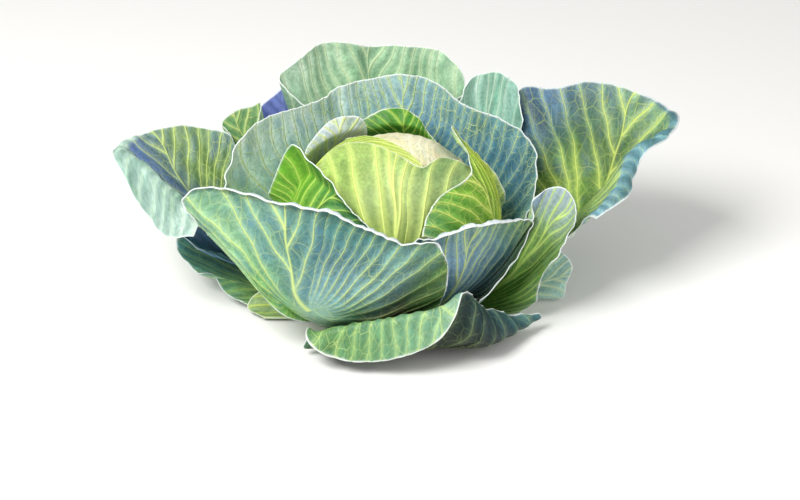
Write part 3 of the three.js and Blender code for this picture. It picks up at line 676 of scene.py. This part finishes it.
def cell_edges(tree, vector, cell, wobble=1.0):
    """Millimetres to the nearest edge of a Voronoi cell of the given size."""
    node = add_node(tree, "TexVoronoi", voronoi_dimensions="2D", feature="DISTANCE_TO_EDGE")
    node.inputs["Scale"].default_value = 100.0 / cell
    node.inputs["Randomness"].default_value = wobble
    tree.links.new(vector, node.inputs["Vector"])
    return Field(tree, node.outputs["Distance"]) * cell


def skin_start(name):
    """A new material, its tree and its shader."""
    material = bpy.data.materials.new(name)
    material.use_nodes = True
    return material, material.node_tree, material.node_tree.nodes["Principled BSDF"]


def bump(tree, shader, height, distance):
    node = add_node(tree, "Bump")
    node.inputs["Distance"].default_value = distance
    tree.links.new(height.socket, node.inputs["Height"])
    tree.links.new(node.outputs["Normal"], shader.inputs["Normal"])


def mesh_number(tree, name):
    """A number stored at the points of the mesh."""
    return Field(tree, add_node(tree, "Attribute", attribute_name=name).outputs["Fac"])


def axes_of(tree, vector):
    """The three numbers of a vector."""
    node = add_node(tree, "SeparateXYZ")
    tree.links.new(vector, node.inputs[0])
    return [Field(tree, node.outputs[key]) for key in "XYZ"]


def opposite(number):
    """1 - number."""
    return number * -1.0 + 1.0


def deepened(tree, factor, colour, code):
    """The colour, multiplied by another as far as the factor says."""
    return blend(tree, factor, colour, blend(tree, 1.0, colour, solid(code), "MULTIPLY"))


# %% Where the veins and the net show
def vein_masks(tree, look, flat, rest, patches):
    """Masks of the lines and of the net, the distance to a lateral, and how far a place is from the root."""
    x, y = (axis * 100.0 for axis in axes_of(tree, flat)[:2])
    mid, lateral, twig, out, in_strip = veins(x, y, *look["veins"])
    near = opposite(in_strip) * 0.6 + 0.15
    mid_line = ridge(mid, rest * rest * 4.0 + 0.8) * above(y, 0.0)
    lateral_line = ridge(lateral, (out / 45.0 + 1.0) ** -1.0 * 0.9 + 0.42)
    net_line = ridge(cell_edges(tree, flat, look["cell"]), 0.42) * 0.7
    fine_line = ridge(cell_edges(tree, flat, look["cell"] * 0.42), 0.34) * 0.22
    reach = ridge((x * x + y * y) ** 0.5, 30.0) * -0.8 + 1.0
    lines = larger(mid_line, lateral_line * reach)
    nets = larger(larger(net_line, fine_line) * patches * 3.0, ridge(twig, near) * near)
    return lines, nets, lateral, reach


# %% A leaf's skin
def leaf_skin(name, look):
    """Wash, pockets, wax bloom and painted sheen, mottling, tint, blotches, halo, net, veins and margin,
    mixed in that order.
    """
    material, tree, shader = skin_start("skin_" + name)
    flat = add_node(tree, "UVMap", uv_map="leaf").outputs["UV"]
    t = axes_of(tree, add_node(tree, "UVMap", uv_map="place").outputs["UV"])[1]
    margin, bare = mesh_number(tree, "margin"), mesh_number(tree, "bare")
    wash = add_node(tree, "Attribute", attribute_name="wash").outputs["Color"]
    # light is 1 on a pale wash and falls to 0 where the wash is dark with painted shade; below it holds back
    # the tint and dims the veins there, so the painted shade stays dark.
    light = opposite(ridge(axes_of(tree, wash)[1], 0.2))
    broad, dark, grain = noise(tree, flat, 4.4), noise(tree, flat, 2.3), noise(tree, flat, 30.0, 6.0)
    lines, nets, lateral, reach = vein_masks(tree, look, flat, opposite(t), dark - 0.3)
    lines, nets = lines * (broad + 0.45) * bare, nets * bare
    pocket = opposite(ridge(lateral, 4.0)) * (broad + 0.2) * look["pocket"]
    colour = deepened(tree, pocket, wash, "6a948a")
    # Patches of wax bloom, lightened toward pale grey as a painted sheen.
    wax_bloom_and_sheen = (noise(tree, flat, 7.0, 5.0) - 0.5) * 2.6
    colour = blend(tree, wax_bloom_and_sheen, colour, blend(tree, 1.0, colour, solid("a4aca8"), "DODGE"))
    colour = deepened(tree, (grain - 0.42) * 2.2, colour, "a9c2b4")
    colour = blend(tree, (broad - 0.48) * 2.0 * bare * light, colour, solid(look["tint"]))
    colour = deepened(tree, (dark - 0.5) * 3.0, colour, "8fb3a0")
    vein = blend(tree, light * -0.75 + 0.75, solid(look["vein"]), colour)
    colour = blend(tree, ridge(lateral, 4.5) * reach * bare * look["halo"], colour, vein)
    colour = blend(tree, nets * look["net"], colour, vein)
    colour = blend(tree, lines * look["line"], colour, vein)
    edge = ridge(margin, (broad * 2.2 + grain - 0.85) * look["edge"])
    colour = blend(tree, edge * 0.8, colour, solid(look["rim"]))
    tree.links.new(colour, shader.inputs["Base Color"])
    rough = noise(tree, flat, 12.0) * 0.2 + 0.38
    tree.links.new(rough.socket, shader.inputs["Roughness"])
    shader.inputs["Specular IOR Level"].default_value = 0.32
    bump(tree, shader, lines * look["line"] + nets * look["net"] * 0.6 + grain * 0.3, 0.0007)
    return material

# %% [markdown]
# ## How each leaf looks
# Leaves of one head differ as much as leaves of one tree: the heart's are cream and lime, the clasping ones
# grass green, the collar slate blue, and the oldest sage or indigo. One palette for all would lose that.
# Each leaf has rows of colours from foot to rim, with "/" between rows: `wash` for its upper side, `under`
# for its underside and `roll` for a folded margin, one colour being enough for a plain side. `veins` is the
# laterals' rise for each millimetre out, how much they bend, how far apart they are, and the degrees
# between the rays of the fan. `root` and `tip` are the midrib's ends as places (u, t). `frill`, `pleats`,
# `puff` and `ribs` shape the mesh, and the rest are strengths of the skin's layers or sizes in millimetres.
# What most leaves share is set once and then overridden. In most washes the rows grow darker towards the
# foot: painted shade where the leaves close in round the stalk.

# %% The looks
USUAL = dict(
    root=(0.5, 0.3), tip=(0.5, 1.0), veins=(1.3, 0.35, 24.0, 13.0), wander=1.0, vein="cfe08a", rim="e9efe8",
    tint="7fa5a4", under="a9c4b4", veil=0.7, frill=1.3, pleats=(5, 0.0), puff=1.5,
    ribs=1.0, pocket=0.6, halo=0.12, net=0.65, line=0.9, edge=1.2, cell=13.0)
LOOKS = {
    "heart_leaf_back": dict(
        wash="f0eab8",
        under="f0eab8 f0eab8 / f2ecc4 f4eecc f2ecc4 / e6dfa4 f2e0a8 f6f0cc e0dfa0",
        veins=(3.0, 0.2, 38.0, 24.0), vein="f0dc98", rim="f9f6e6", tint="f0d89c", frill=0.5, puff=0.8,
        pleats=(3, 0.8), ribs=0.2, pocket=0.2, net=0.0, line=0.15),
    "heart_leaf_middle": dict(
        wash="c0d656",
        under="b0c83c b9d048 / 84a828 a9c43c cfe060 / 86ac2c 9cc038 d0dc7c dfe490",
        veins=(3.0, 0.2, 30.0, 12.0), vein="e6f08a", rim="f3f6d0", tint="a0bf34", frill=0.5, puff=0.5,
        ribs=0.3, net=0.15),
    "heart_leaf_front": dict(
        wash="cfe08c c9da84",
        under="748c3c 6c8438 748c40 / 9cb04c 849c48 889c54 8ca05c / "
              "d4ec74 b0c870 b4c884 9cb474 a4bc7c / e4fc90 d0e87c 9ab864 84a460 a0c07c b9ca94",
        root=(0.49, 0.44), tip=(0.45, 1.0), veins=(6.0, 0.05, 80.0, 13.0), wander=0.45, vein="e6f488",
        rim="f6f8de", tint="a0b468", puff=1.0, frill=0.6, ribs=0.6, pocket=0.4, net=0.12, line=0.8,
        halo=0.3),
    "wrapper_leaf_right": dict(
        wash="a9c4a0",
        under="7fa42c 93b434 / 64a03c 7fb42c a0c430 8cb038 / 64a84c 6aac30 93bc30 c0d83c 749c90 / "
              "74ac78 64a434 84b030 b9d43c 8caab0",
        root=(0.46, 0.45), tip=(0.38, 1.0), veins=(1.3, 0.2, 25.0, 13.0), vein="e0ec78", rim="f1f5ee",
        tint="4a9428", frill=0.7, puff=1.2, ribs=0.6, net=0.9, cell=11.0),
    "wrapper_leaf_left": dict(
        wash="93b890",
        under="6ca424 6c9c2c / 7cb82c 78b42c 54983c 387848 / 84a850 8cd03c 50a034 3f8848 2c6454",
        root=(0.3, 0.5), tip=(0.75, 1.0), veins=(1.5, 0.2, 25.0, 12.0), vein="cbe86c", rim="eaf1ec",
        tint="3c9828", frill=0.7, puff=1.0, ribs=0.6, net=0.35),
    "wrapper_leaf_back_left": dict(
        # Near white towards the rim: painted light that lifts the leaf out of the shade it stands in.
        wash="8c9cac 94a4b4 / b8c4d4 c4cce0 b8c8bc / e0e8f4 e4ecf8 ccdcd4 b8d0a4",
        under="a3b3b8", veins=(1.3, 0.2, 18.0, 12.0), vein="d0dc84", rim="f2f4f8", tint="7888b8", frill=0.8,
        puff=0.9, ribs=0.5),
    "wrapper_leaf_back": dict(
        # Near black green at the foot: painted shade.
        wash="205018 2c6018 / 1c5c1c 2c7420 448428 / 609458 2c7c20 388c24 7cb43c",
        under="8fb38a 9bbb8e", veins=(1.2, 0.2, 16.0, 12.0), vein="c0e064", rim="f2f6e8", tint="187018",
        frill=0.9, puff=1.0, ribs=0.5, net=0.5),
    "cup_leaf_front_right": dict(
        wash="86a8a8",
        roll="e3e8f2 e6eaf4 dce4ec",
        # Underside: the last columns go near black, a painted shadow from the leaf next to it.
        under="5f8688 4f7880 203c40 0c1c20 / 7c9cb8 6c98c0 30586c 060c10 / "
              "84a8cc 78a0c8 386470 081014 / 8cb0c0 7ca4a4 5c8858 142c28",
        root=(0.2, 0.42), tip=(0.42, 1.0), veins=(2.2, 0.4, 30.0, 13.0), vein="c9dc84", rim="f3f5f8",
        tint="5f88ac", ribs=0.6, cell=15.0),
    "cup_leaf_front_left": dict(
        wash="93b8ac",
        roll="dfe6ea e6eaf2 e3e8f0",
        # Underside: the last columns go near black, painted shade in the hollow at the leaf's lower right.
        under="74b85c 5c9c50 5c9858 5c9478 4c8468 205040 0c3024 / "
              "78b46c 7cb87c 6c9c84 74a0a8 3c7464 082c24 04140e / "
              "84b48c 90bc94 70a090 4c7c90 80a8b0 0c3430 041814 / "
              "8cb490 84b090 749c94 408070 6a9888 547c44 24481c",
        root=(0.48, 0.5), tip=(0.36, 1.0), veins=(1.5, 0.4, 42.0, 14.0), vein="cfe284", rim="f3f5f8",
        tint="5a8cb0", ribs=0.6, puff=1.8, cell=14.0, net=0.55),
    "collar_leaf": dict(
        # Darker towards the foot, painted shade; near white at the rim on the left, painted light where the
        # key lamp only grazes the leaf.
        wash="4f8474 407888 306468 / 64a08c 5088a0 3a7888 2f6c6c / "
             "90ccac 8cc0b8 5a92b0 4c88a4 306870 28605c 245450 / "
             "b8f0d4 dcfff0 c4e8e8 7aa8cc 447c98 3c7088 387068 / "
             "e0f8ec f0fff8 e0f4f4 b8d8e0 78a8b4 5c8ca0 74a094",
        under="a6c4ba a6c4ba 9abcbc", root=(0.5, 0.35), veins=(1.6, 0.3, 26.0, 9.0), vein="cde296",
        rim="f1f6f4", tint="7cacc8", puff=1.8, net=0.95, cell=12.0),
    "outer_leaf_back": dict(
        wash="74a478 80b084 / 98c09c b0d8b0 94bc98 84b088 / b8d8c4 ccecc4 94c090 bce0b4 90b894 / "
             "d0e8d8 dcf4d8 b0d4b0 d0ecc8 a8ccac",
        under="a9c8b0", veins=(1.3, 0.3, 26.0, 16.0), vein="d6e6b4", rim="f3f7f0", tint="6fa080",
        pleats=(5, 2.2), puff=1.6, net=0.25, line=0.7),
    "outer_leaf_back_right": dict(
        wash="84b09c 93bcaa / 7fb49c b0d8c4 84bca4 a4d2be 7aac98 / acd8c4 cdf0e0 90c0ac c3e6d8 8cbca8",
        under="a9ccbf", root=(0.5, 0.4), veins=(6.0, 0.1, 80.0, 14.0), vein="e3f4dc", rim="f6faf6",
        tint="78b09c", pleats=(4, 2.2), net=0.1, line=0.6, puff=1.5, frill=1.8),
    "outer_leaf_right": dict(
        # Dark at the foot: painted shade.
        wash="244c34 386c30 74983c 4c7830 2c5830 / 285448 44744c 8cb04c 709440 587c40 4f7c50 / "
             "305c84 3c6c8c 487444 64884c 84a460 6f987c / 4878a8 6084b8 6c90a0 acd09c b8d8a8 90b8b4",
        roll="2c5864 386c7c 4f8098 6fa0b0 6f9cb0",
        under="4f7a84 5f8f9c 6f98b0", root=(0.82, 0.56), tip=(0.5, 1.0), veins=(1.25, 0.2, 38.0, 14.0),
        vein="d0e070", rim="eef4f1", tint="4c7498", edge=1.6, puff=1.8, veil=0.8, pocket=0.9, halo=0.2),
    "outer_leaf_back_left_green": dict(
        wash="387434 448440 / 4f8c48 60a050 / 64a068 84b07c",
        under="86a894", veins=(1.3, 0.3, 17.0, 12.0), rim="e3ecdf", tint="3c7858"),
    "outer_leaf_back_left_blue": dict(
        wash="384a88 485898 / 4858a8 6070bc / 5a6ac0 8c98d8",
        under="8f9cc4", veins=(1.3, 0.3, 17.0, 12.0), vein="8f9cc0", rim="d0d8f0", tint="3c4c9c", net=0.2,
        line=0.4),
    "outer_leaf_left": dict(
        wash="487058 4c7438 587838 486c60 3c5878 / 4f7c80 608454 688844 4c6894 40589c 4c68a0 / "
             "7494c0 7c9c8c 84a06c 647cb8 4860c4 5c78c0",
        roll="8ca89c b0c8bc b8d0c4 98b4a8 bcd4c8 / 84a09c b0c8bc c4d8cc 9cb8ac c8dcd0",
        under="8fb3a8 b3d3c6 b9d8cc a6c9bf", root=(0.6, 0.55), tip=(0.47, 1.0),
        veins=(1.3, 0.3, 26.0, 14.0), vein="cde07c", rim="ecf4f0", tint="5a78b4", pleats=(9, 1.0), puff=1.6,
        veil=0.85),
    "outer_leaf_front_right": dict(
        # Near black green at the foot: painted shade.
        wash="1c4c10 1c4c10 1c4c10 / 3c7424 3c7420 245c14 1c5410 / 648854 608448 48742c 2c6420 / "
             "889490 98a4c8 a4b0cc 6c8c5c 447c34 649070",
        under="a3bcae", root=(0.72, 0.34), tip=(0.4, 1.0), veins=(4.0, 0.2, 40.0, 11.0), vein="c0dc70",
        rim="f1f4f8", tint="7ca084", puff=1.8, net=0.5),
    "ground_leaf_front": dict(
        wash="6f9f74",
        roll="5a8440 608c50 709c70 84b098 8cb0a0 80a498 / 64904c 6c9c64 80ac88 98bca8 a4c4bc 8cacac",
        # Underside: near black towards the foot, painted shade where the leaf lies against the table.
        under="0c2c20 0c2c20 081c18 041410 081c20 / 1c4430 183c2c 102820 0c2024 183840 / "
              "2c5c44 285c54 204844 1c4450 50848c",
        root=(0.45, 0.35), tip=(0.45, 1.0), veins=(1.2, 0.3, 30.0, 15.0), vein="c4dc84", rim="f5f8f5",
        tint="68a890", edge=1.6, net=0.75, cell=12.0, line=0.6, veil=0.0),
    "ground_leaf_left": dict(
        wash="547c3c 5c8034 / 447880 608844 708c28 / 40849c 58907c 749c38",
        under="7fa494", veins=(1.3, 0.3, 22.0, 12.0), vein="98b45c", rim="e9f1f1", tint="2c647c", frill=2.2,
        edge=1.7, net=0.4, line=0.7),
    "ground_leaf_left_inner": dict(
        # Dark indigo all over: painted shade filling the gap between the leaves round it.
        wash="203c5c 284868 / 244470 30547c / 345c80 406888",
        under="5f84a0", veins=(1.3, 0.3, 20.0, 12.0), vein="5f8494", rim="b9cbd4", tint="1c3860", net=0.2,
        line=0.4),
    "ground_leaf_left_small": dict(
        wash="648c2c 709434 / 608838 709844 / 648c4c 84a45c",
        under="86a474", veins=(1.3, 0.3, 16.0, 12.0), vein="c0d464", rim="e3ecd0", tint="4c782c"),
    "ground_leaf_back_right": dict(
        wash="709a70 7ca480 / 7ca484 90b594 / 88ae94 9cc0a2",
        under="9fbaa6", veins=(1.3, 0.3, 22.0, 12.0), vein="cbdf98", rim="eef4ee", tint="6f9a90"),
    "ground_leaf_back": dict(
        wash="64906f 70987a / 6c9880 80a88c / 7aa48e 90b8a0",
        under="93b3a2", veins=(1.3, 0.3, 23.0, 12.0), vein="cbdf98", rim="eef4ee", tint="6494a4"),
    "ground_leaf_right": dict(
        wash="84aca0 8cb4a8 / 9cc0b8 a0c6c0 / a6cec6 b4dad2",
        under="a6c6bc", veins=(1.6, 0.2, 16.0, 10.0), vein="cbe0b8", rim="f1f6f4", tint="6098c4", net=0.3),
}
print("looks:", len(LOOKS))

# %% Build the leaves
total = 0
for seed, (name, changes) in enumerate(LOOKS.items()):
    look = {**USUAL, **changes}
    piece, triangles = build_leaf(name, look, seed)
    piece.data.materials.append(leaf_skin(name, look))
    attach(piece, "root")
    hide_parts(name)
    low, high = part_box(name)
    points = np.array([corner[:] for corner in piece.bound_box])
    over = max((np.array(low) - points.min(0)).max(), (points.max(0) - np.array(high)).max()) / MM
    total += triangles
    print(f"{name}: {triangles} triangles, stands {over:.1f} mm past its plain solid's box at most")
print("triangles in the leaves:", total)

# %% [markdown]
# ## The heart and the stump
# Inside the leaves is the solid heart, of which almost nothing shows, and under them the cut stalk. Both are
# round, so each is turned: a profile of radius and height carried round the Z axis. The heart is a ball of
# ever smaller leaves, so shallow creases run up it. The stalk is fibrous, so fine grooves run up its side
# and its cut face shows rings. Creases and grooves only ever go inward, which keeps both inside their
# plain solids and clear of the leaves.

# %% Turn a closed solid, with grooves
def turned(profile, sides, dent):
    """Points r*cos(a), r*sin(a), z for a profile that starts and ends on the axis; r is cut by dent(a, z)."""
    profile = np.array(profile, dtype=float)
    ring = profile[1:-1]
    a = np.linspace(0, 2 * math.pi, sides, endpoint=False)
    aa, rr = np.meshgrid(a, ring[:, 0], indexing="ij")
    zz = np.broadcast_to(ring[:, 1], rr.shape)
    rr = rr * (1 - dent(aa, zz))
    body = np.stack([rr * np.cos(aa), rr * np.sin(aa), zz], -1)
    count = len(ring)
    ids = np.arange(sides * count).reshape(sides, count)
    beside = np.roll(ids, -1, axis=0)
    quads = np.stack([ids[:, :-1], beside[:, :-1], beside[:, 1:], ids[:, 1:]], -1).reshape(-1, 4)
    bottom, top = sides * count, sides * count + 1
    caps = [(bottom, int(n), int(i)) for i, n in zip(ids[:, 0], beside[:, 0])]
    caps += [(top, int(i), int(n)) for i, n in zip(ids[:, -1], beside[:, -1])]
    ends = [[0, 0, profile[0, 1]], [0, 0, profile[-1, 1]]]
    return np.vstack([body.reshape(-1, 3), ends]), quads.tolist() + caps


def round_piece(name, profile, sides, dent):
    """A turned mesh object in metres."""
    points, faces = turned(profile, sides, dent)
    mesh = bpy.data.meshes.new(name)
    mesh.from_pydata(points * MM, [], faces)
    mesh.polygons.foreach_set("use_smooth", np.ones(len(faces), dtype=bool))
    piece = bpy.data.objects.new(name, mesh)
    bpy.context.collection.objects.link(piece)
    return piece


def heart_creases(a, z):
    """Creases where a + z/40 comes round to each sixth of a turn, at most a fiftieth of the radius deep."""
    turn = part_of((a + z / 40.0) * 6 / (2 * math.pi))
    return 0.004 + 0.016 * np.exp(-(np.minimum(turn, 1 - turn) / 0.06) ** 2)


def stalk_grooves(a, z):
    """Fine grooves that run up the stalk, fading out towards its cut foot."""
    return 0.004 + 0.012 * (0.5 + 0.5 * np.sin(23 * a + 2 * np.sin(3 * a))) * smooth(1.0, 6.0, z)


flat = math.asin(STALK_RADIUS / HEART_RADIUS)
around = np.linspace(flat, math.pi, 60)
tall = np.where(around < math.pi / 2, HEART_DROP, HEART_RISE)
heart_profile = np.stack([HEART_RADIUS * np.sin(around), HEART_CENTRE - tall * np.cos(around)], 1)
heart_profile = np.vstack([[0.0, heart_profile[0, 1]], heart_profile[:-1], [0.0, heart_profile[-1, 1]]])
heart = round_piece("visual_heart", heart_profile, 144, heart_creases)
stalk_top = float(stump_high[2])
stalk_profile = [(0, 0)] + [(r, 0) for r in (4, 9, 14, 18, 20)] + [(21, 0.6), (21.8, 1.6), (22, 3)]
stalk_profile += [(22, z) for z in np.linspace(5, stalk_top, 14)] + [(12, stalk_top), (0, stalk_top)]
stump = round_piece("visual_stump", stalk_profile, 120, stalk_grooves)
print("heart and stump:", len(heart.data.polygons), len(stump.data.polygons), "faces")

# %% Skins for the heart and the stump
def heart_skin():
    """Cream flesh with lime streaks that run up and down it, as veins."""
    material, tree, shader = skin_start("skin_heart")
    where = add_node(tree, "TexCoord").outputs["Object"]
    stretched = add_node(tree, "Mapping")
    stretched.inputs["Scale"].default_value = (60, 60, 12)
    tree.links.new(where, stretched.inputs[0])
    streaks = noise(tree, stretched.outputs[0], 1.0, 4.0)
    colour = blend(tree, streaks, solid("f2ecc6"), solid("d5dc96"))
    tree.links.new(colour, shader.inputs["Base Color"])
    tree.links.new((noise(tree, where, 90.0) * 0.2 + 0.35).socket, shader.inputs["Roughness"])
    bump(tree, shader, streaks, 0.001)
    return material


def stalk_skin():
    """Pale fibres up the side, rings and a darker dry rim on the cut face."""
    material, tree, shader = skin_start("skin_stump")
    where = add_node(tree, "TexCoord").outputs["Object"]
    axes = add_node(tree, "SeparateXYZ")
    tree.links.new(where, axes.inputs[0])
    x, y, z = (Field(tree, axes.outputs[key]) * 1000.0 for key in "XYZ")
    radius = (x * x + y * y) ** 0.5
    rings = part_of(radius / 3.1 + noise(tree, where, 120.0) * 0.8)
    fibre = add_node(tree, "Mapping")
    fibre.inputs["Scale"].default_value = (600, 600, 40)
    tree.links.new(where, fibre.inputs[0])
    fibres = noise(tree, fibre.outputs[0], 1.0, 4.0)
    side = above(z, 1.5)
    grain = side * fibres + opposite(side) * size_of(rings - 0.5)
    colour = blend(tree, grain, solid("dfe0b4"), solid("a9ab6c"))
    colour = blend(tree, ridge(radius - 20.5, 1.2) * opposite(side) * 0.7, colour, solid("9a8a58"))
    tree.links.new(colour, shader.inputs["Base Color"])
    tree.links.new((grain * 0.3 + 0.5).socket, shader.inputs["Roughness"])
    bump(tree, shader, grain, 0.0008)
    return material


for piece, node, skin in ((heart, "heart", heart_skin()), (stump, "stump", stalk_skin())):
    piece.data.materials.append(skin)
    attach(piece, "root")
    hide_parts(node)
print("the heart and the stump are dressed")

# %% [markdown]
# ## Table, light and camera
# The plant rests on a plain pale floor under soft light, as on an overcast day: a bright sky all round, a
# large lamp high on the left and a weaker one on the right. The camera looks down by thirty degrees from
# the front through a long lens, so that near and far leaves keep their sizes.

# %% Floor
def floor_piece(half=6.0, count=13):
    """A flat square grid that lies on z = 0, plain and pale."""
    line = np.linspace(-half, half, count)
    gx, gy = np.meshgrid(line, line, indexing="ij")
    ids = np.arange(count * count).reshape(count, count)
    quads = np.stack([ids[:-1, :-1], ids[1:, :-1], ids[1:, 1:], ids[:-1, 1:]], -1).reshape(-1, 4)
    mesh = bpy.data.meshes.new("floor")
    mesh.from_pydata(np.stack([gx.ravel(), gy.ravel(), np.zeros(count * count)], 1), [], quads.tolist())
    piece = bpy.data.objects.new("floor", mesh)
    bpy.context.collection.objects.link(piece)
    material, tree, shader = skin_start("pale_floor")
    shader.inputs["Base Color"].default_value = solid("f4f3f0")
    shader.inputs["Roughness"].default_value = 0.9
    mesh.materials.append(material)
    return piece


floor = floor_piece()
print("floor:", tuple(round(side, 1) for side in floor.dimensions))

# %% Light
def lamp(name, place, aim, size, power):
    """A square area lamp that faces a point."""
    light = bpy.data.lights.new(name, "AREA")
    light.size, light.energy = size, power
    holder = bpy.data.objects.new(name, light)
    holder.location = place
    holder.rotation_euler = (Vector(aim) - Vector(place)).to_track_quat("-Z", "Y").to_euler()
    bpy.context.collection.objects.link(holder)


world = bpy.data.worlds.new("overcast sky")
world.use_nodes = True
world.node_tree.nodes["Background"].inputs["Color"].default_value = (1.0, 1.0, 1.0, 1.0)
world.node_tree.nodes["Background"].inputs["Strength"].default_value = 0.5
bpy.context.scene.world = world
lamp("key", (-0.9, -0.8, 1.6), (0, 0, 0.08), 0.9, 40.0)
lamp("fill", (1.3, -0.9, 1.0), (0, 0, 0.08), 1.2, 7.0)
bpy.context.scene.view_settings.view_transform = "Standard"

# %% Camera
LOOK_AT = np.array([4.545, 0.0, 50.39])
DISTANCE = 1900.0
DOWN = math.radians(30)
camera_data = bpy.data.cameras.new("camera")
camera_data.lens = 94.05
camera_data.sensor_width = 36.0
camera_data.clip_end = 20.0
camera = bpy.data.objects.new("camera", camera_data)
away = np.array([0.0, -math.cos(DOWN), math.sin(DOWN)]) * DISTANCE
camera.location = (LOOK_AT + away) * MM
camera.rotation_euler = Vector(-away).to_track_quat("-Z", "Y").to_euler()
bpy.context.collection.objects.link(camera)
bpy.context.scene.camera = camera
print("camera at", [round(value, 3) for value in camera.location])
